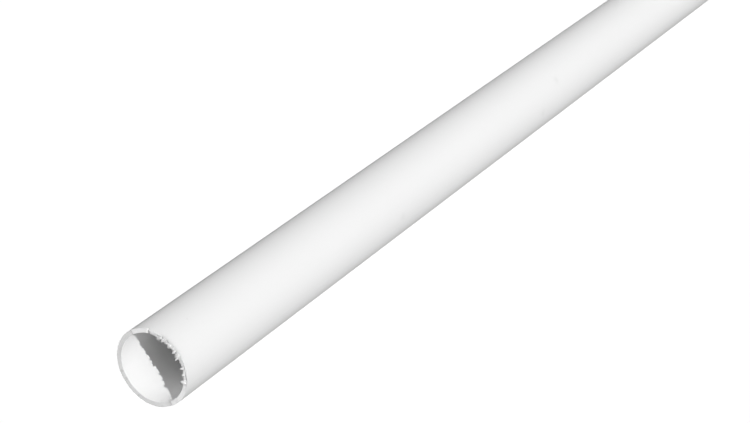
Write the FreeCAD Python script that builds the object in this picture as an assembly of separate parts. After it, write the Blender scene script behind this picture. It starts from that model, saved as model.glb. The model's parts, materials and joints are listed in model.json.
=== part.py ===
import FreeCAD, Part
import math
import os

# A rigid white PVC conduit: one straight tube, extruded in one piece and sawn to length.
# Millimetres and degrees. The axis runs along +X from the middle of the near end, and +Z is up.
# An angle round the tube is counted from straight up towards -Y.
OUTER_DIAMETER = 20.0
WALL = 1.2
LENGTH = 3000.0

# The near end was sawn from two sides, and the cuts didn't meet: the second went a little
# further up the tube, so a low step crosses the end face.
STEP_DEPTH = 0.25
STEP_ANGLE = 57.5      # the middle of the longer half

# On the longer half a stretch of wall was snapped off, not sawn. It left a lip that stands
# out of the cut. The lip is tallest at its start, a nick, leans down to nothing at its end,
# and slopes in from the outside of the wall to the bore.
LIP_HEIGHT = 0.75
LIP_START = -3.0
LIP_END = 120.0

AXIS = FreeCAD.Vector(1, 0, 0)
NEAR_END = FreeCAD.Vector(0, 0, 0)
OUTER_RADIUS = OUTER_DIAMETER / 2
BORE_RADIUS = OUTER_RADIUS - WALL


def extruded_tube():
    """The plain ring of the pipe's section, carried along it from the lip's tip to the far end."""
    tip = NEAR_END - AXIS * LIP_HEIGHT
    outside, bore = [
        Part.Face(Part.Wire(Part.Circle(tip, AXIS, radius).toShape()))
        for radius in (OUTER_RADIUS, BORE_RADIUS)
    ]
    return outside.cut(bore).Faces[0].extrude(AXIS * (LIP_HEIGHT + LENGTH))


def first_saw_cut():
    """Waste in front of the near end, everywhere round the tube but the snapped stretch."""
    profile = Part.makePolygon([
        FreeCAD.Vector(0, 0, 0),
        FreeCAD.Vector(0, 0, OUTER_DIAMETER),
        FreeCAD.Vector(-2 * LIP_HEIGHT, 0, OUTER_DIAMETER),
        FreeCAD.Vector(-2 * LIP_HEIGHT, 0, 0),
        FreeCAD.Vector(0, 0, 0),
    ])
    cut = Part.Face(profile)
    cut.rotate(NEAR_END, AXIS, LIP_END)
    return cut.revolve(NEAR_END, AXIS, 360 - (LIP_END - LIP_START))


def second_saw_cut():
    """Waste over the half of the ring across from STEP_ANGLE, up to the step's depth."""
    cut = Part.makeBox(2 * STEP_DEPTH, 2 * OUTER_DIAMETER, OUTER_DIAMETER)
    cut.translate(FreeCAD.Vector(-STEP_DEPTH, -OUTER_DIAMETER, -OUTER_DIAMETER))
    cut.rotate(NEAR_END, AXIS, STEP_ANGLE)
    return cut


def lip_slope():
    """A cone in front of the near end that leaves the lip sloping from its tip in to the bore."""
    return Part.makeCone(BORE_RADIUS, BORE_RADIUS + 2 * WALL, 2 * LIP_HEIGHT, NEAR_END, -AXIS)


def lip_lean():
    """What lies in front of a plane that leans from the lip's tip down to the bore at its end."""
    half_turn = (LIP_END - LIP_START) / 2
    across = math.sin(math.radians(half_turn))
    tall_side = OUTER_RADIUS * across
    low_side = -BORE_RADIUS * across
    slope = LIP_HEIGHT / (tall_side - low_side)
    front = -slope * (OUTER_DIAMETER - low_side)
    outline = Part.makePolygon([
        FreeCAD.Vector(0, low_side, -OUTER_DIAMETER),
        FreeCAD.Vector(front, OUTER_DIAMETER, -OUTER_DIAMETER),
        FreeCAD.Vector(front, -OUTER_DIAMETER, -OUTER_DIAMETER),
        FreeCAD.Vector(0, -OUTER_DIAMETER, -OUTER_DIAMETER),
        FreeCAD.Vector(0, low_side, -OUTER_DIAMETER),
    ])
    cut = Part.Face(outline).extrude(FreeCAD.Vector(0, 0, 2 * OUTER_DIAMETER))
    cut.rotate(NEAR_END, AXIS, LIP_START + half_turn)
    return cut


def conduit_pipe():
    """The tube, with its near end sawn from two sides and snapped where the cuts stopped."""
    waste = [first_saw_cut(), second_saw_cut(), lip_slope(), lip_lean()]
    return extruded_tube().cut(waste).removeSplitter().Solids[0]


pipe = conduit_pipe()
plain_volume = math.pi * (OUTER_RADIUS ** 2 - BORE_RADIUS ** 2) * LENGTH
print("valid", pipe.isValid(), "volume %.1f mm3," % pipe.Volume, "plain tube %.1f mm3" % plain_volume)

os.makedirs("parts", exist_ok=True)
pipe.exportStep("parts/conduit_pipe.step")
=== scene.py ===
import json
import math

import bpy
import numpy as np
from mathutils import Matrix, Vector


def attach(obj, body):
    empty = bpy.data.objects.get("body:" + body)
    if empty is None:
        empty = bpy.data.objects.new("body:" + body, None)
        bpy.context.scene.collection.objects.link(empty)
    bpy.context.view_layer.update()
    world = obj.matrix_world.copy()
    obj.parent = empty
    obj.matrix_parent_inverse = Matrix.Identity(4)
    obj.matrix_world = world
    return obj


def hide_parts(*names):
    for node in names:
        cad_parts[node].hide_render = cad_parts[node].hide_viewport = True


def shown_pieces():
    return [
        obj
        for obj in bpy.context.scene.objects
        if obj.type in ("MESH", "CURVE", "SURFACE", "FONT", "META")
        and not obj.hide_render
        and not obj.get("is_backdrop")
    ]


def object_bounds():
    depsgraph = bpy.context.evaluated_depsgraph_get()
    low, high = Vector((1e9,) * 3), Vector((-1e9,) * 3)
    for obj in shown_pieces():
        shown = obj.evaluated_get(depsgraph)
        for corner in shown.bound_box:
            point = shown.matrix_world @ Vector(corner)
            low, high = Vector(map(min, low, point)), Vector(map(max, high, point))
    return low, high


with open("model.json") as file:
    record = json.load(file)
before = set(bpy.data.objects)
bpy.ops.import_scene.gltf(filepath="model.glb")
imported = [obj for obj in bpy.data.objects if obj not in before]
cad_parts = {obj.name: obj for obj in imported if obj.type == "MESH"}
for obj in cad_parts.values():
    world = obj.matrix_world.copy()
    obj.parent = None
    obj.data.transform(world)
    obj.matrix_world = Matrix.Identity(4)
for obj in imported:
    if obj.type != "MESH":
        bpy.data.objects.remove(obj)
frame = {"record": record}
cad_low, cad_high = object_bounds()

# The pipe is one length of rigid white PVC, extruded as a plain tube and sawn off by hand.
# Two saw cuts from opposite sides left a low step across its near end, and the last of the
# wall was snapped, which left a torn lip on it. The far end was cut square.
MM = 0.001
mounts = {mount["name"]: mount for mount in frame["record"]["mounts"]}
OUTER_RADIUS = mounts["outside"]["dims"]["r_mm"] * MM
BORE_RADIUS = mounts["bore"]["dims"]["r_mm"] * MM
WALL = OUTER_RADIUS - BORE_RADIUS
LENGTH = cad_high.x

# Degrees are counted round the pipe from straight up towards -Y. A row in a list of places says
# at which degrees a place starts and stops, over how many it fades out, and what it adds there.
# A row in a list of layers says how high a layer of ripples is, its shortest and its longest
# wave in mm, and its seed. Both kinds of row give heights in mm.
STEP_DEPTH = 0.25 * MM
STEP_SIDE = 57.5              # degrees round to the middle of the longer half
STEP_SLOPE = 0.05 * MM        # half of what the step's low wall takes up of the end face
STEP_WAVER = 0.03 * MM        # how far the step strays from a straight line
SECOND_CUT_PLACES = [(175, 190, 24, -0.16), (236, 243, 12, 0.12)]   # how much deeper it goes
SAWN_LAYERS = [(0.008, 0.3, 1.2, 13), (0.03, 3, 9, 14)]
LIP_TIP = -cad_low.x          # how far the lip may stand out
LIP_START, LIP_END = 0.6, 120
LIP_TOPS = [
    # degrees round, mm that its outer edge stands out of the saw cut
    (LIP_START, 0.56), (7, 0.60), (11, 0.48), (15, 0.34), (43, 0.30), (60, 0.27), (80, 0.20),
    (91, 0.15), (106, 0.11), (LIP_END, 0.0),
]
ROUGH_LIP = 0.2 * MM          # a lip this high is rough in full
PALE_LIP = 0.15 * MM          # a lip this high has the torn colour in full
TORN_LAYERS = [(0.045, 0.25, 0.6, 12), (0.06, 0.6, 1.8, 15)]
HOLLOW_PLACES = [(14, 58, 4, 1), (83, 92, 4, 1)]   # the wall tore away low behind its skin
HOLLOW_POWER = 1.6            # what a hollow adds to the power that the lip's slope follows
HOLLOW_LAYERS = [(0.09, 0.7, 1.5, 17)]
WHITENED_PLACES = [(14, 57, 4, 1), (104, 118, 4, 1)]   # the tear is whiter from the stress
GROOVE_PLACES = [(84, 98, 4, 0.14)]   # a groove that follows the lip's torn face
GROOVE_RADIUS = 9.6 * MM
GROOVE_WIDTH = 0.13 * MM
RIDGE_START = 0.25 * MM       # how deep in the wall the ridge along its skin starts to rise
RIDGE_RISE = 0.16 * MM        # over what distance it rises
RIDGE_HEIGHT = 0.04           # in mm, on the saw cuts
TORN_RIDGE = 0.05             # how many mm more it is on the lip
FRINGE_REACH = 0.9 * MM       # how far from the bore's edge the leaning fringe bends the wall
FRINGE_DROOP = 0.4            # how far it droops along the bore, as a share of its lean
FRINGE_LAYERS = [(0.35, 0.2, 0.6, 16)]   # how uneven the lean is, as a share of it
FRINGE_RANGE = (0.3, 1.8)
FRINGE_LEANS = [
    # degrees round, mm that the inner edge leans in over the bore
    (10, 0.0), (12, 0.35), (15, 0.62), (18.5, 0.30), (21, 0.55), (24, 0.60), (26.5, 0.20), (29, 0.30),
    (32, 0.12), (34, 0.25), (36, 0.70), (39.5, 0.18), (42, 0.12), (44, 0.18), (47.5, 0.60), (51, 0.18),
    (54, 0.42), (57, 0.60), (60, 0.50), (61.5, 0.0), (64, 0.0), (65.5, 0.12), (68, 0.0), (73.5, 0.0),
    (75.5, 0.35), (77.5, 0.0), (83, 0.0), (86, 0.30), (88, 0.25), (91, 0.08), (95, 0.10), (98.5, 0.50),
    (101.5, 0.0), (103, 0.0),
]
SKIN_DEPTH = 0.4 * MM         # how thick the skin is that the snapping bent outwards
FLARE_PLACES = [(22, 72, 14, 0.06)]   # how far it is bent at the lip's edge
FLARE_START = 0.9 * MM        # how far up the pipe the bend starts
FLARE_LENGTH = 1.6 * MM       # over what length towards the lip it grows
BEND_SHADE_PLACES = [(24, 54, 12, 1)]   # painted shade: the skin is painted darker where it was bent
BEND_SHADE_START = 0.8 * MM
BEND_SHADE_LENGTH = 1.5 * MM
NICK_PLACE = LIP_START - 2.7  # degrees, as is the width
NICK_DEPTH = 0.65 * MM
NICK_WIDTH = 1.5
OUTER_ROUNDING, INNER_ROUNDING = 0.07, 0.08   # mm, of the two edges of the near end
ROUNDING_SPREAD = 0.03        # how uneven they are
ROUNDING_RANGE = (0.03, 0.16)
OUTER_WORN_PLACES = [(2, 8, 1.5, 0.18)]
INNER_WORN_PLACES = [(-32, -5, 2, 0.12), (64, 80, 4, 0.12), (108, 146, 4, 0.15)]
FAR_ROUNDING = 0.08 * MM
POINTS_ROUND = 720
POINTS_CROWDING = 0.45        # 0 spaces the points evenly, and near 1 they crowd on the lip
WALL_RINGS = 38
BORE_RINGS = 38
RING_CROWDING = 4             # above 1, the rings lie closer towards the near end
EDGE_POINTS = 5
FACE_RINGS = 20


def ripples(points, shortest, longest, seed, waves=48):
    """Smooth unevenness at each point, with a spread of about 1.

    It is a sum of plane cosine waves. Each has a random direction and phase, and a
    wavelength between the shortest and the longest.
    """
    rng = np.random.default_rng(seed)
    direction = rng.normal(size=(waves, 3))
    direction /= np.linalg.norm(direction, axis=1, keepdims=True)
    wavelength = np.exp(rng.uniform(math.log(shortest), math.log(longest), waves))
    phase = rng.uniform(0, 2 * math.pi, waves)
    weight = np.sqrt(wavelength)
    turns = points @ (direction / wavelength[:, None]).T
    return (np.cos(2 * math.pi * turns + phase) * weight).sum(-1) / np.sqrt((weight ** 2).sum() / 2)


def layered_ripples(points, layers):
    """The sum of the layers of ripples, each times its height."""
    return sum(
        height * ripples(points, shortest * MM, longest * MM, seed)
        for height, shortest, longest, seed in layers
    )


def eased(share):
    """0 below 0, 1 above 1, and a smooth rise between."""
    share = np.clip(share, 0, 1)
    return share * share * (3 - 2 * share)


def between(value, start, stop, blur):
    """1 between start and stop, falling off to 0 smoothly over the blur on either side."""
    return eased((value - start) / blur + 1) * eased((stop - value) / blur + 1)


def added_places(degrees, places):
    """What the places add up to, each in full between its two degrees and smoothly less beyond."""
    return sum(amount * between(degrees, start, stop, blur) for start, stop, blur, amount in places)


def around(x, degrees, radius):
    """Points in space from how far they lie along the pipe, how far round, and the radius."""
    x, degrees, radius = np.broadcast_arrays(x, degrees, radius)
    angle = np.radians(degrees)
    return np.stack([x, -radius * np.sin(angle), radius * np.cos(angle)], axis=-1)


def lip_height(degrees, radius):
    """How far the torn lip stands out of the saw cut, without its roughness.

    Its outer edge follows LIP_TOPS. From there it slopes straight in to the bore, or along a
    higher power of the way across the wall where it is hollow behind its skin.
    """
    where, tops = np.transpose(LIP_TOPS)
    top = np.interp(degrees, where, tops, left=0, right=0) * MM
    slope = np.clip((radius - BORE_RADIUS) / WALL, 0, 1)
    return top * slope ** (1 + HOLLOW_POWER * added_places(degrees, HOLLOW_PLACES))


def near_end(degrees, radius):
    """Where the near end's surface lies along the pipe, for degrees from -180 to 180.

    It is 0 on the first saw cut, and the step's depth on the half that the second cut took,
    changing over where the distance from the axis towards STEP_SIDE passes 0. The second cut
    wanders. The lip stands out of that, and the nick beside it is cut in, as a bell curve of
    the degrees from its middle. Ripples make torn plastic rougher than sawn, and rougher still
    in the hollows. A groove follows the lip as a bell curve of the radius, and a sharp ridge
    stands up along the wall's skin.
    """
    flat = around(0.0, degrees, radius)
    towards_longer_half = radius * np.cos(np.radians(degrees - STEP_SIDE))
    towards_longer_half = towards_longer_half + STEP_WAVER * ripples(flat, 0.4 * MM, 3 * MM, 11)
    step = eased((STEP_SLOPE - towards_longer_half) / (2 * STEP_SLOPE))
    cut = step * (STEP_DEPTH + MM * added_places(degrees % 360, SECOND_CUT_PLACES))

    lip = lip_height(degrees, radius)
    torn = eased(lip / ROUGH_LIP)
    hollows = added_places(degrees, HOLLOW_PLACES)
    tearing = layered_ripples(flat, TORN_LAYERS) + hollows * layered_ripples(flat, HOLLOW_LAYERS)
    sawing = layered_ripples(flat, SAWN_LAYERS)
    across_groove = np.exp(-((radius - GROOVE_RADIUS) / GROOVE_WIDTH) ** 2)
    groove = added_places(degrees, GROOVE_PLACES) * across_groove
    ridge = eased((radius - OUTER_RADIUS + RIDGE_START) / RIDGE_RISE) * (RIDGE_HEIGHT + TORN_RIDGE * torn)
    nick = NICK_DEPTH * np.exp(-((degrees - NICK_PLACE) / NICK_WIDTH) ** 2)
    rough = tearing * torn + sawing * (1 - torn) - ridge + groove
    return np.maximum(cut - lip + nick + MM * rough, -LIP_TIP)


def edge_rounding(degrees, mean, seed, worn_places):
    """How far an edge of the near end is rounded: unevenly all round, and more where it is worn."""
    flat_edge = around(0.0, degrees, OUTER_RADIUS)
    uneven = mean + ROUNDING_SPREAD * ripples(flat_edge, 0.8 * MM, 5 * MM, seed)
    return MM * (np.clip(uneven, *ROUNDING_RANGE) + added_places(degrees, worn_places))


def fringe_lean(degrees):
    """How far the torn inner edge leans in over the bore, straight between FRINGE_LEANS."""
    where, leans = np.transpose(FRINGE_LEANS)
    return np.interp(degrees, where, leans, left=0, right=0) * MM


def skin_flare(x, degrees):
    """How far the wall's skin is bent outwards beside the lip, most at its edge."""
    edge = eased((FLARE_START - x) / FLARE_LENGTH)
    return MM * added_places(degrees, FLARE_PLACES) * edge


def pipe_surface():
    """The pipe's closed skin: rows of points round the tube, each row one place along a loop.

    The loop runs along the outside from the far end to the near one, round the wall's outer
    edge, across its end face, round its inner edge, back along the bore, and across the far
    end. Points crowd on the lip, by taking a sine wave from their even spacing. Then the torn
    inner edge is moved in over the bore and a little along it, and the skin by the lip is
    moved outwards. Returns the points, and for each point how much it is sawn, torn, whitened,
    part of the second cut, and under the painted shade of the bent skin.
    """
    even = np.linspace(-math.pi, math.pi, POINTS_ROUND, endpoint=False)
    lip_middle = math.radians((LIP_START + LIP_END) / 2)
    degrees = np.degrees(even - POINTS_CROWDING * np.sin(even - lip_middle))
    degrees = (degrees + 180) % 360 - 180
    outer_round = edge_rounding(degrees, OUTER_ROUNDING, 21, OUTER_WORN_PLACES)
    inner_round = edge_rounding(degrees, INNER_ROUNDING, 22, INNER_WORN_PLACES)
    quarter = np.linspace(0, math.pi / 2, EDGE_POINTS)[:, None]

    outer_edge_radius = OUTER_RADIUS - outer_round * (1 - np.cos(quarter))
    outer_edge = near_end(degrees, outer_edge_radius) + outer_round * (1 - np.sin(quarter))
    across = np.linspace(0, 1, FACE_RINGS + 2)[1:-1, None]
    face_radius = (OUTER_RADIUS - outer_round) * (1 - across) + (BORE_RADIUS + inner_round) * across
    face = near_end(degrees, face_radius)
    inner_edge_radius = BORE_RADIUS + inner_round * (1 - np.sin(quarter))
    inner_edge = near_end(degrees, inner_edge_radius) + inner_round * (1 - np.cos(quarter))

    far_outer_radius = OUTER_RADIUS - FAR_ROUNDING * (1 - np.cos(quarter[::-1]))
    far_outer = LENGTH - FAR_ROUNDING * (1 - np.sin(quarter[::-1]))
    far_inner_radius = BORE_RADIUS + FAR_ROUNDING * (1 - np.sin(quarter[::-1]))
    far_inner = LENGTH - FAR_ROUNDING * (1 - np.cos(quarter[::-1]))

    def along(rings, start, stop):
        """Rings between the two ends, closer together near the start."""
        share = (np.arange(1, rings + 1) / (rings + 1))[:, None] ** RING_CROWDING
        return start + (stop - start) * share

    outside = along(WALL_RINGS, outer_edge[0], far_outer[-1])[::-1]
    bore = along(BORE_RINGS, inner_edge[-1], far_inner[0])
    rows = [
        (outside, OUTER_RADIUS, 0.0),
        (outer_edge, outer_edge_radius, 1.0),
        (face, face_radius, 1.0),
        (inner_edge, inner_edge_radius, 1.0),
        (bore, BORE_RADIUS, 0.0),
        (far_inner, far_inner_radius, 1.0),
        (far_outer, far_outer_radius, 1.0),
    ]
    points = np.concatenate([around(x, degrees, radius) for x, radius, _ in rows])
    sawn = np.concatenate([np.full((len(x), POINTS_ROUND), share) for x, _, share in rows])
    x, radius = points[..., 0].copy(), np.linalg.norm(points[..., 1:], axis=-1)

    near_bore = eased(1 - (radius - BORE_RADIUS) / FRINGE_REACH)
    near_bore = near_bore * eased(1 - (x - inner_edge[-1]) / FRINGE_REACH)
    ragged = np.clip(1 + layered_ripples(points, FRINGE_LAYERS), *FRINGE_RANGE)
    lean = fringe_lean(degrees) * ragged * near_bore
    outer_skin = eased((radius - OUTER_RADIUS + SKIN_DEPTH) / SKIN_DEPTH)
    moved = skin_flare(x, degrees) * outer_skin - lean
    points[..., 1:] *= (1 + moved / radius)[..., None]
    points[..., 0] += FRINGE_DROOP * lean

    near = x < LENGTH / 2
    torn = sawn * near * eased(lip_height(degrees, radius) / PALE_LIP)
    whitened = torn * added_places(degrees, WHITENED_PLACES)
    second_cut = sawn * near * (np.cos(np.radians(degrees - STEP_SIDE)) < 0)
    outside_wall = (1 - sawn) * (radius > BORE_RADIUS + WALL / 2)
    # Painted shade: how much darker the outside is painted by the lip, where the bent skin is shaded.
    scuffed = outside_wall * eased((BEND_SHADE_START - x) / BEND_SHADE_LENGTH) * added_places(degrees, BEND_SHADE_PLACES)
    return points, sawn, torn, whitened, second_cut, scuffed


def closed_grid(rows, columns):
    """Four-sided faces between neighbours in a grid whose rows and columns both close up.

    Seen from the side that they face, the rows go down and the columns run to the right.
    """
    row, column = np.meshgrid(np.arange(rows), np.arange(columns), indexing="ij")
    next_row, next_column = (row + 1) % rows, (column + 1) % columns
    corners = [row * columns + column, next_row * columns + column,
               next_row * columns + next_column, row * columns + next_column]
    return np.stack(corners, axis=-1).reshape(-1, 4).tolist()


def smooth_mesh(name, points, faces, **point_values):
    """A smooth-shaded mesh object from arrays of points, faces and named values at its points."""
    mesh = bpy.data.meshes.new(name)
    mesh.from_pydata(points.reshape(-1, 3).tolist(), [], list(faces))
    mesh.shade_smooth()
    for value_name, values in point_values.items():
        layer = mesh.attributes.new(value_name, "FLOAT", "POINT")
        layer.data.foreach_set("value", values.astype(np.float32).ravel())
    piece = bpy.data.objects.new(name, mesh)
    bpy.context.scene.collection.objects.link(piece)
    return piece


pipe_points, sawn_share, torn_share, whitened_share, second_cut_share, scuffed_share = pipe_surface()
pipe = smooth_mesh(
    "pipe", pipe_points, closed_grid(*sawn_share.shape),
    sawn=sawn_share, torn=torn_share, whitened=whitened_share, second_cut=second_cut_share,
    scuffed=scuffed_share,
)


def node_group(name, inputs, outputs):
    """A shader node group with the named number, vector or colour sockets, and its two ends."""
    group = bpy.data.node_groups.new(name, "ShaderNodeTree")
    for socket_name, kind, default in inputs:
        socket = group.interface.new_socket(socket_name, in_out="INPUT", socket_type=kind)
        socket.default_value = default
    for socket_name, kind in outputs:
        group.interface.new_socket(socket_name, in_out="OUTPUT", socket_type=kind)
    return group, group.nodes.new("NodeGroupInput"), group.nodes.new("NodeGroupOutput")


def math_node(tree, operation, first, second=None):
    """The result of a Math node on one or two sockets or numbers."""
    node = tree.nodes.new("ShaderNodeMath")
    node.operation = operation
    for socket, value in zip(node.inputs, (first, second)):
        if isinstance(value, bpy.types.NodeSocket):
            tree.links.new(value, socket)
        elif value is not None:
            socket.default_value = value
    return node.outputs[0]


def die_lines_group():
    """Lines that the extruder's die drew along the pipe: noise drawn out along X.

    Width is about how wide a line is, and Stretch is its width as a share of its length, so that
    at 1 the lines turn into an even grain.
    """
    group, ends_in, ends_out = node_group(
        "Die lines",
        [("Width", "NodeSocketFloat", 1.0), ("Stretch", "NodeSocketFloat", 0.01)],
        [("Height", "NodeSocketFloat")],
    )
    place = group.nodes.new("ShaderNodeTexCoord")
    stretch = group.nodes.new("ShaderNodeCombineXYZ")
    stretch.inputs["Y"].default_value = 1.0
    stretch.inputs["Z"].default_value = 1.0
    group.links.new(ends_in.outputs["Stretch"], stretch.inputs["X"])
    squeeze = group.nodes.new("ShaderNodeVectorMath")
    squeeze.operation = "MULTIPLY"
    group.links.new(place.outputs["Object"], squeeze.inputs[0])
    group.links.new(stretch.outputs[0], squeeze.inputs[1])
    noise = group.nodes.new("ShaderNodeTexNoise")
    noise.inputs["Detail"].default_value = 3.0
    group.links.new(squeeze.outputs[0], noise.inputs["Vector"])
    group.links.new(math_node(group, "DIVIDE", 1.0, ends_in.outputs["Width"]), noise.inputs["Scale"])
    group.links.new(noise.outputs["Fac"], ends_out.inputs["Height"])
    return group


def smudge_group():
    """A soft uneven mark round one place: a ball that fades outwards, broken up by noise."""
    group, ends_in, ends_out = node_group(
        "Smudge",
        [("Centre", "NodeSocketVector", (0, 0, 0)), ("Radius", "NodeSocketFloat", 1.0)],
        [("Mark", "NodeSocketFloat")],
    )
    place = group.nodes.new("ShaderNodeTexCoord")
    distance = group.nodes.new("ShaderNodeVectorMath")
    distance.operation = "DISTANCE"
    group.links.new(place.outputs["Object"], distance.inputs[0])
    group.links.new(ends_in.outputs["Centre"], distance.inputs[1])
    share = math_node(group, "DIVIDE", distance.outputs["Value"], ends_in.outputs["Radius"])
    noise = group.nodes.new("ShaderNodeTexNoise")
    group.links.new(place.outputs["Object"], noise.inputs["Vector"])
    group.links.new(math_node(group, "DIVIDE", 1.5, ends_in.outputs["Radius"]), noise.inputs["Scale"])
    uneven = math_node(group, "SUBTRACT", noise.outputs["Fac"], 0.5)
    edge = math_node(group, "ADD", share, uneven)
    fade = group.nodes.new("ShaderNodeMapRange")
    fade.interpolation_type = "SMOOTHSTEP"
    fade.inputs["From Min"].default_value = 1.0
    fade.inputs["From Max"].default_value = 0.0
    group.links.new(edge, fade.inputs["Value"])
    group.links.new(fade.outputs["Result"], ends_out.inputs["Mark"])
    return group


def saw_marks_group():
    """Fine parallel scores that saw teeth leave: noise drawn out along the saw's stroke.

    Stroke is the angle about X that turns the stroke to Z.
    """
    score_squeeze = 0.06
    group, ends_in, ends_out = node_group(
        "Saw marks",
        [("Stroke", "NodeSocketFloat", 0.0), ("Spacing", "NodeSocketFloat", 0.001)],
        [("Height", "NodeSocketFloat")],
    )
    place = group.nodes.new("ShaderNodeTexCoord")
    turn = group.nodes.new("ShaderNodeVectorRotate")
    turn.rotation_type = "X_AXIS"
    group.links.new(place.outputs["Object"], turn.inputs["Vector"])
    group.links.new(ends_in.outputs["Stroke"], turn.inputs["Angle"])
    squeeze = group.nodes.new("ShaderNodeVectorMath")
    squeeze.operation = "MULTIPLY"
    squeeze.inputs[1].default_value = (1.0, 1.0, score_squeeze)
    group.links.new(turn.outputs[0], squeeze.inputs[0])
    noise = group.nodes.new("ShaderNodeTexNoise")
    noise.inputs["Detail"].default_value = 2.0
    group.links.new(squeeze.outputs[0], noise.inputs["Vector"])
    group.links.new(math_node(group, "DIVIDE", 1.0, ends_in.outputs["Spacing"]), noise.inputs["Scale"])
    group.links.new(noise.outputs["Fac"], ends_out.inputs["Height"])
    return group


die_lines = die_lines_group()
smudge = smudge_group()
saw_marks = saw_marks_group()


def placed_group(tree, group, **values):
    """The node group placed in a material, with its own numbers on its inputs."""
    node = tree.nodes.new("ShaderNodeGroup")
    node.node_tree = group
    for socket_name, value in values.items():
        node.inputs[socket_name].default_value = value
    return node


def mixed_colour(tree, share, first, second):
    """A colour between two, each a socket or a plain colour, by a share from 0 to 1.

    A Mix node has sockets named A, B and Result for each kind of value, so the ones for colours
    are told by their kind.
    """
    mix = tree.nodes.new("ShaderNodeMix")
    mix.data_type = "RGBA"
    tree.links.new(share, mix.inputs["Factor"])
    colour_sockets = [socket for socket in mix.inputs if socket.type == "RGBA"]
    for socket, value in zip(colour_sockets, (first, second)):
        if isinstance(value, bpy.types.NodeSocket):
            tree.links.new(value, socket)
        else:
            socket.default_value = (*value, 1.0)
    return next(socket for socket in mix.outputs if socket.type == "RGBA")


def share_of(tree, value_name):
    """One of the shares that a mesh holds at its points."""
    attribute = tree.nodes.new("ShaderNodeAttribute")
    attribute.attribute_name = value_name
    return attribute.outputs["Fac"]


SMUDGES = [
    # mm along, degrees round, mm from the axis, mm across, strength: first the wall's, then the rim's
    (197.2, 54.0, 10.0, 2.0, 0.13),
    (184.8, 90.0, 10.0, 1.8, 0.11),
    (100.0, 88.7, 10.0, 1.8, 0.10),
    (9.6, 21.5, 10.0, 0.3, 0.30),
    # From here on the marks darken spots on the cut faces of the end.
    (0.0, 136.0, 9.7, 1.1, 0.25),
    (0.2, 150.0, 8.8, 0.6, 0.45),
    (0.2, 166.0, 9.9, 0.7, 0.35),
    (0.2, 206.6, 9.4, 0.6, 0.50),
    (0.2, 236.7, 9.3, 0.6, 0.55),
    (0.2, 243.0, 9.8, 0.5, 0.35),
    (0.2, 249.5, 9.4, 0.7, 0.50),
    (0.2, 274.0, 9.9, 0.6, 0.30),
    (0.2, 284.5, 9.2, 0.5, 0.20),
]
PVC_IOR = 1.53


def white_pvc():
    """Smooth white PVC with die lines, handling marks and darker spots, duller and rougher where sawn or
    torn.

    The strengths of the marks and the shares on the mesh mix the colours one over the other.
    The second cut's face and the skin bent beside the lip are painted darker, as painted shade.
    Die lines and saw scores are relief in mm.
    """
    material = bpy.data.materials.new("White PVC")
    material.use_nodes = True
    tree = material.node_tree
    shader = tree.nodes["Principled BSDF"]
    shader.inputs["IOR"].default_value = PVC_IOR
    shader.inputs["Diffuse Roughness"].default_value = 0.4

    smooth_white = (0.83, 0.83, 0.83)
    cloudy_white = (0.81, 0.81, 0.81)
    first_cut_white = (0.78, 0.78, 0.78)
    # painted shade: the second cut's face is painted darker than the first, for a face turned further from
    # the light
    second_cut_shade_grey = (0.64, 0.64, 0.64)
    torn_white = (0.70, 0.70, 0.70)
    whitened_white = (0.82, 0.82, 0.82)
    mark_grey = (0.42, 0.42, 0.41)
    # painted shade of the skin bent beside the lip
    scuffed_white = (0.62, 0.62, 0.62)
    sawn, torn, whitened = share_of(tree, "sawn"), share_of(tree, "torn"), share_of(tree, "whitened")
    second_cut, scuffed = share_of(tree, "second_cut"), share_of(tree, "scuffed")

    line_height, score_height = 0.02, 0.06
    score_spacing = 0.12 * MM
    lines = placed_group(tree, die_lines, Width=1.2 * MM, Stretch=0.004)
    clouds = placed_group(tree, die_lines, Width=14 * MM, Stretch=0.3)
    first_scores = placed_group(tree, saw_marks, Stroke=math.radians(94), Spacing=score_spacing)
    second_scores = placed_group(tree, saw_marks, Stroke=math.radians(27), Spacing=score_spacing)

    colour = mixed_colour(tree, clouds.outputs["Height"], cloudy_white, smooth_white)
    # Painted shade on the bent skin beside the lip.
    colour = mixed_colour(tree, scuffed, colour, scuffed_white)
    colour = mixed_colour(tree, sawn, colour, first_cut_white)
    # Painted shade on the second cut's face.
    colour = mixed_colour(tree, second_cut, colour, second_cut_shade_grey)
    colour = mixed_colour(tree, torn, colour, torn_white)
    colour = mixed_colour(tree, whitened, colour, whitened_white)
    for along_pipe, degrees, from_axis, across, strength in SMUDGES:
        centre = around(along_pipe * MM, degrees, from_axis * MM).tolist()
        mark = placed_group(tree, smudge, Centre=centre, Radius=across * MM).outputs["Mark"]
        colour = mixed_colour(tree, math_node(tree, "MULTIPLY", mark, strength), colour, mark_grey)
    tree.links.new(colour, shader.inputs["Base Color"])

    satin, dull = 0.42, 0.75
    roughness = math_node(tree, "MULTIPLY", sawn, dull - satin)
    tree.links.new(math_node(tree, "ADD", roughness, satin), shader.inputs["Roughness"])

    smooth = math_node(tree, "SUBTRACT", 1.0, sawn)
    first_cut = math_node(tree, "SUBTRACT", math_node(tree, "SUBTRACT", sawn, second_cut), torn)
    drawn = math_node(tree, "MULTIPLY", lines.outputs["Height"], smooth)
    relief = math_node(tree, "MULTIPLY", drawn, line_height)
    for scores, share in ((first_scores, first_cut), (second_scores, second_cut)):
        cut = math_node(tree, "MULTIPLY", scores.outputs["Height"], share)
        relief = math_node(tree, "ADD", relief, math_node(tree, "MULTIPLY", cut, score_height))
    bump = tree.nodes.new("ShaderNodeBump")
    bump.inputs["Distance"].default_value = MM
    tree.links.new(relief, bump.inputs["Height"])
    tree.links.new(bump.outputs["Normal"], shader.inputs["Normal"])
    return material


pipe.data.materials.append(white_pvc())
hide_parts("conduit_pipe")
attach(pipe, "root")

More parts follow.
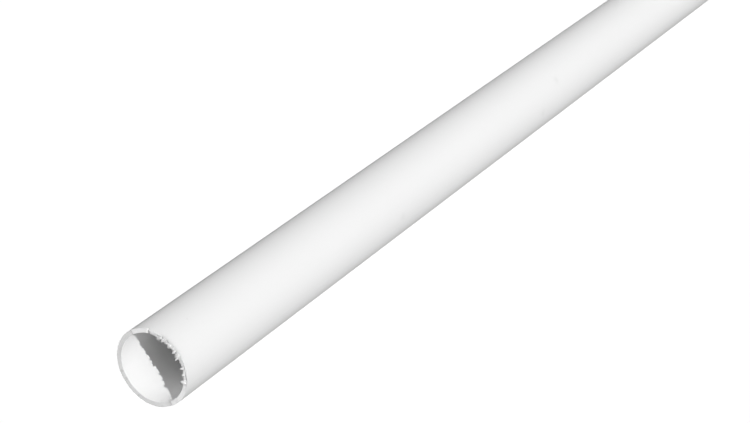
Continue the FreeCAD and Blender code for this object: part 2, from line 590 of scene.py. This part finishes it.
# Torn crumbs and short threads of the same plastic hang on the snapped lip, most of them
# along its inner edge. They are still joined to the wall, each by its root.
CRUMBS = [
    # degrees round, mm from the axis, mm out of the saw cut: of the root, then of the tip; mm thick
    (17.4, 9.10, 0.16, 13.4, 8.22, -0.02, 0.56),
    (18.6, 9.30, 0.20, 17.4, 8.44, 0.12, 0.58),
    (20.4, 9.66, 0.24, 20.0, 9.10, 0.36, 0.50),
    (24.2, 9.50, 0.24, 22.8, 8.46, 0.16, 0.58),
    (26.4, 9.20, 0.12, 26.6, 8.74, 0.00, 0.30),
    (29.4, 9.50, 0.26, 28.8, 8.42, 0.00, 0.40),
    (31.6, 9.20, 0.12, 31.8, 8.76, 0.00, 0.30),
    (33.6, 9.50, 0.22, 33.6, 8.50, -0.04, 0.36),
    (36.8, 9.50, 0.22, 36.2, 8.52, 0.16, 0.84),
    (39.4, 9.30, 0.20, 39.2, 8.52, 0.00, 0.34),
    (43.8, 9.45, 0.22, 44.2, 8.92, 0.04, 0.56),
    (47.4, 9.40, 0.16, 47.8, 8.48, 0.20, 0.58),
    (50.4, 9.20, 0.10, 50.2, 8.74, 0.00, 0.28),
    (52.6, 9.40, 0.24, 52.8, 8.46, 0.00, 0.40),
    (55.4, 9.50, 0.20, 55.6, 8.50, 0.16, 0.66),
    (57.6, 9.00, 0.14, 58.2, 8.12, -0.02, 0.36),
    (58.4, 8.60, 0.08, 60.0, 7.98, 0.12, 0.40),
    (62.5, 9.30, 0.06, 62.8, 9.05, 0.06, 0.24),
    (65.4, 9.10, 0.06, 65.7, 8.78, -0.02, 0.30),
    (70.0, 9.20, 0.04, 70.3, 9.00, 0.06, 0.22),
    (75.3, 9.00, 0.06, 75.4, 8.74, 0.16, 0.54),
    (79.5, 9.05, 0.02, 79.8, 8.95, 0.04, 0.20),
    (84.6, 9.20, 0.08, 85.4, 8.84, 0.06, 0.34),
    (85.6, 9.10, 0.10, 86.2, 8.68, 0.10, 0.52),
    (91.0, 9.10, 0.04, 91.4, 8.66, -0.10, 0.42),
    (95.6, 9.20, 0.04, 96.0, 8.90, 0.08, 0.40),
    (98.2, 9.30, 0.00, 98.8, 8.62, 0.12, 0.90),
]
CRUMB_ROWS, CRUMB_COLUMNS = 9, 12
CRUMB_TAPER = 0.2             # how much thinner the tip is than the middle, as a share
CRUMB_FLATNESS = 0.65         # how thick it is along the pipe, as a share of its width across
FLAT_WAY = (1.0, 0.2, 0.1)    # about along the pipe
CRUMB_LAYERS = [(0.24, 0.14, 0.5, 32)]
CRUMB_RANGE = (0.75, 1.3)
SMALL_CRUMBS = 150
THICK_FRINGE = (11, 61)       # two thirds of the small crumbs are strewn between these degrees
THIN_FRINGE = (61, 103)       # and the others between these
THICK_INSET, THIN_INSET = 0.12, 0.30   # mm that they keep away from the bore there
OUTER_INSET = 0.25 * MM       # how far they keep away from the wall's outside
LEAN_SHARE = 0.7              # how much of the fringe's lean they follow
OUT_SPREAD = (-0.10, 0.02)    # mm further out than the lip's plain slope
OUT_RANGE = (-0.06, 0.5)      # mm out of the saw cut
TIP_SPREAD = 0.07 * MM
SMALL_THICKNESSES = (0.10, 0.28)


def crumb_surfaces(roots, tips, thickness):
    """Closed lumps, one from each root to its tip.

    A lump's middle line runs straight from root to tip. Round it is a flattened circle, the
    lump's thickness across in the middle. At a share t from -1 to 1 along the lump it is
    smaller by the square root of 1 - t^2, and by CRUMB_TAPER of t for a finer tip. Every
    point's distance from the lump's middle is then changed by ripples.
    """
    rows, columns = CRUMB_ROWS, CRUMB_COLUMNS
    t = np.linspace(-1, 1, rows + 2)[1:-1, None]
    turn = np.linspace(0, 2 * math.pi, columns, endpoint=False)
    axis = tips - roots
    length = np.linalg.norm(axis, axis=1, keepdims=True)
    forward = axis / length
    side = np.cross(forward, FLAT_WAY)
    side /= np.linalg.norm(side, axis=1, keepdims=True)
    other = np.cross(forward, side)
    half = (length + thickness[:, None]) / 2
    middle = (roots + tips) / 2

    width = np.sqrt(1 - t ** 2) * (1 - CRUMB_TAPER * t) / 2
    skin = middle[:, None, None] + forward[:, None, None] * (half[:, None] * t)[..., None]
    for across, wave in ((side, np.cos(turn)), (other, CRUMB_FLATNESS * np.sin(turn))):
        skin = skin + across[:, None, None] * (thickness[:, None, None] * width * wave)[..., None]
    ends = middle[:, None] + np.stack([-forward * half, forward * half], axis=1)
    points = np.concatenate([skin.reshape(len(roots), -1, 3), ends], axis=1)
    uneven = np.clip(1 + layered_ripples(points, CRUMB_LAYERS), *CRUMB_RANGE)
    points = middle[:, None] + (points - middle[:, None]) * uneven[..., None]

    row, column = np.meshgrid(np.arange(rows - 1), np.arange(columns), indexing="ij")
    next_column = (column + 1) % columns
    corners = [row * columns + column, row * columns + next_column,
               (row + 1) * columns + next_column, (row + 1) * columns + column]
    quads = np.stack(corners, axis=-1).reshape(-1, 4)
    column = np.arange(columns)
    next_column = (column + 1) % columns
    last, root_end, tip_end = (rows - 1) * columns, rows * columns, rows * columns + 1
    root_fan = np.stack([np.full(columns, root_end), next_column, column], axis=-1)
    tip_fan = np.stack([np.full(columns, tip_end), last + column, last + next_column], axis=-1)
    count = rows * columns + 2
    offsets = np.arange(len(roots))[:, None, None] * count
    faces = []
    for part in (quads, root_fan, tip_fan):
        faces += (part + offsets).reshape(-1, part.shape[1]).tolist()
    return points, faces


def lip_crumbs():
    """The crumbs that stand out most, listed one by one, and many small ones strewn along the lip.

    A small one's root lies at random between the fringe and the wall's outside, oftener near
    the fringe, and its tip a little way off in any direction.
    """
    root_degrees, root_radius, root_out, tip_degrees, tip_radius, tip_out, thickness = np.transpose(CRUMBS)
    roots = around(-root_out * MM, root_degrees, root_radius * MM)
    tips = around(-tip_out * MM, tip_degrees, tip_radius * MM)

    rng = np.random.default_rng(31)
    third = SMALL_CRUMBS // 3
    degrees = np.concatenate([rng.uniform(*THICK_FRINGE, 2 * third), rng.uniform(*THIN_FRINGE, third)])
    count = len(degrees)
    inset = np.where(degrees < THICK_FRINGE[1], THICK_INSET, THIN_INSET) * MM
    inner = BORE_RADIUS + inset - LEAN_SHARE * fringe_lean(degrees)
    radius = inner + (OUTER_RADIUS - OUTER_INSET - inner) * rng.beta(1, 1.4, count)
    out = lip_height(degrees, radius) / MM + rng.uniform(*OUT_SPREAD, count)
    small_roots = around(-np.clip(out, *OUT_RANGE) * MM, degrees, radius)
    small_tips = small_roots + rng.normal(0, TIP_SPREAD, (count, 3))
    small_thickness = rng.uniform(*SMALL_THICKNESSES, count)
    points, faces = crumb_surfaces(
        np.concatenate([roots, small_roots]),
        np.concatenate([tips, small_tips]),
        np.concatenate([thickness, small_thickness]) * MM,
    )
    points[..., 0] = np.maximum(points[..., 0], -LIP_TIP)
    return points, faces


def torn_pvc():
    """Torn PVC: dull, stressed white all through, with a fine grain."""
    material = bpy.data.materials.new("Torn PVC")
    material.use_nodes = True
    tree = material.node_tree
    shader = tree.nodes["Principled BSDF"]
    shader.inputs["IOR"].default_value = PVC_IOR
    shader.inputs["Roughness"].default_value = 0.7
    dull_white = (0.70, 0.70, 0.70)
    stressed_white = (0.84, 0.84, 0.84)
    grain = placed_group(tree, die_lines, Width=0.15 * MM, Stretch=1.0)
    colour = mixed_colour(tree, grain.outputs["Height"], dull_white, stressed_white)
    tree.links.new(colour, shader.inputs["Base Color"])
    return material


crumb_points, crumb_faces = lip_crumbs()
crumbs = smooth_mesh("lip_crumbs", crumb_points, crumb_faces)
crumbs.data.materials.append(torn_pvc())
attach(crumbs, "root")

# The floor is a plain white sheet that the pipe lies on. It glows almost white by itself, so
# only a trace of shadow could show where the pipe touches it. It throws no shadow and no light
# on the pipe: the low light and the bounce behind come through it.
FLOOR_HALF = 60.0
FLOOR_LEVEL = cad_low.z
corners = np.array([(-1, -1, 0), (1, -1, 0), (1, 1, 0), (-1, 1, 0)]) * FLOOR_HALF + (0, 0, FLOOR_LEVEL)
floor = smooth_mesh("floor", corners, [(0, 1, 2, 3)])
floor_material = bpy.data.materials.new("Floor white")
floor_material.use_nodes = True
floor_shader = floor_material.node_tree.nodes["Principled BSDF"]
floor_shader.inputs["Base Color"].default_value = (0.8, 0.8, 0.8, 1.0)
floor_shader.inputs["Roughness"].default_value = 1.0
floor_shader.inputs["Specular IOR Level"].default_value = 0.0
floor_shader.inputs["Emission Color"].default_value = (1.0, 1.0, 1.0, 1.0)
floor_shader.inputs["Emission Strength"].default_value = 0.95
floor.data.materials.append(floor_material)
floor.visible_diffuse = False
floor.visible_glossy = False
floor.visible_shadow = False
floor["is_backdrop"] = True

# The studio is a plain white room. The camera sees it white, and what it lights the pipe with
# is dimmer and the same from every side.
ROOM_LIGHT = 0.08
world = bpy.data.worlds.new("Studio")
world.use_nodes = True
bpy.context.scene.world = world
sky = world.node_tree
background = sky.nodes["Background"]
background.inputs["Color"].default_value = (1.0, 1.0, 1.0, 1.0)
seen = sky.nodes.new("ShaderNodeLightPath")
strength = sky.nodes.new("ShaderNodeMix")
strength.inputs["A"].default_value = ROOM_LIGHT
strength.inputs["B"].default_value = 1.0
sky.links.new(seen.outputs["Is Camera Ray"], strength.inputs["Factor"])
sky.links.new(strength.outputs["Result"], background.inputs["Strength"])

# The key light is small and far away, a little above and left of the camera. It throws the
# crisp ragged shadow of the rim into the bore. Wide soft lights fill in round it: one overhead
# past the near end, one from low on the left, a weak one from in front, and one that stands for
# what the white floor throws back at the pipe's far side. They shine on the pipe alone, so the
# floor stays plain.
lit_pieces = bpy.data.collections.new("Lit pieces")
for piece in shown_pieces():
    lit_pieces.objects.link(piece)


def far_light(name, towards, strength, spread):
    """A light so far off that it falls the same along the whole pipe, with its spread in degrees."""
    data = bpy.data.lights.new(name, "SUN")
    data.energy = strength
    data.angle = math.radians(spread)
    lamp = bpy.data.objects.new(name, data)
    lamp.rotation_mode = "QUATERNION"
    lamp.rotation_quaternion = Vector(towards).to_track_quat("Z", "Y")
    lamp.light_linking.receiver_collection = lit_pieces
    bpy.context.scene.collection.objects.link(lamp)


far_light("Key", (-0.501, -0.698, 0.511), 2.72, 0.3)
far_light("Overhead fill", (-0.75, 0.115, 0.651), 0.87, 60)
far_light("Low fill", (-0.75, -0.639, -0.171), 0.70, 60)
far_light("Front fill", (0, -0.731, 0.682), 0.15, 60)
far_light("Bounce behind", (0.2, 0.83, -0.52), 1.5, 30)

# The camera looks along the pipe from above and to its left, as the photograph does. These
# are the fitted angles and distance, and where the middle of the near end falls in a frame
# of 750 by 423 pixels.
FRAME_WIDTH, FRAME_HEIGHT = 750, 423
NEAR_END_PIXEL = (152.23, 367.67)
VIEW_AZIMUTH = math.radians(-60.07)
VIEW_ELEVATION = math.radians(24.78)
NEAR_END_DEPTH = 0.4837
FOCAL_PIXELS = 2112.1
camera_data = bpy.data.cameras.new("Camera")
camera_data.sensor_width = 36.0
camera_data.lens = camera_data.sensor_width * FOCAL_PIXELS / FRAME_WIDTH
camera_data.clip_start = 0.01
camera_data.clip_end = 200.0
camera = bpy.data.objects.new("Camera", camera_data)
bpy.context.scene.collection.objects.link(camera)
back = Vector((
    math.sin(VIEW_AZIMUTH) * math.cos(VIEW_ELEVATION),
    -math.cos(VIEW_AZIMUTH) * math.cos(VIEW_ELEVATION),
    math.sin(VIEW_ELEVATION),
))
turn = back.to_track_quat("Z", "Y")
per_pixel = NEAR_END_DEPTH / FOCAL_PIXELS
aside = (NEAR_END_PIXEL[0] - FRAME_WIDTH / 2) * per_pixel
above = (FRAME_HEIGHT / 2 - NEAR_END_PIXEL[1]) * per_pixel
near_end_centre = Vector((STEP_DEPTH, 0, 0))
camera.rotation_mode = "QUATERNION"
camera.rotation_quaternion = turn
camera.location = near_end_centre - turn @ Vector((aside, above, -NEAR_END_DEPTH))
bpy.context.scene.camera = camera
bpy.context.scene.view_settings.view_transform = "Standard"
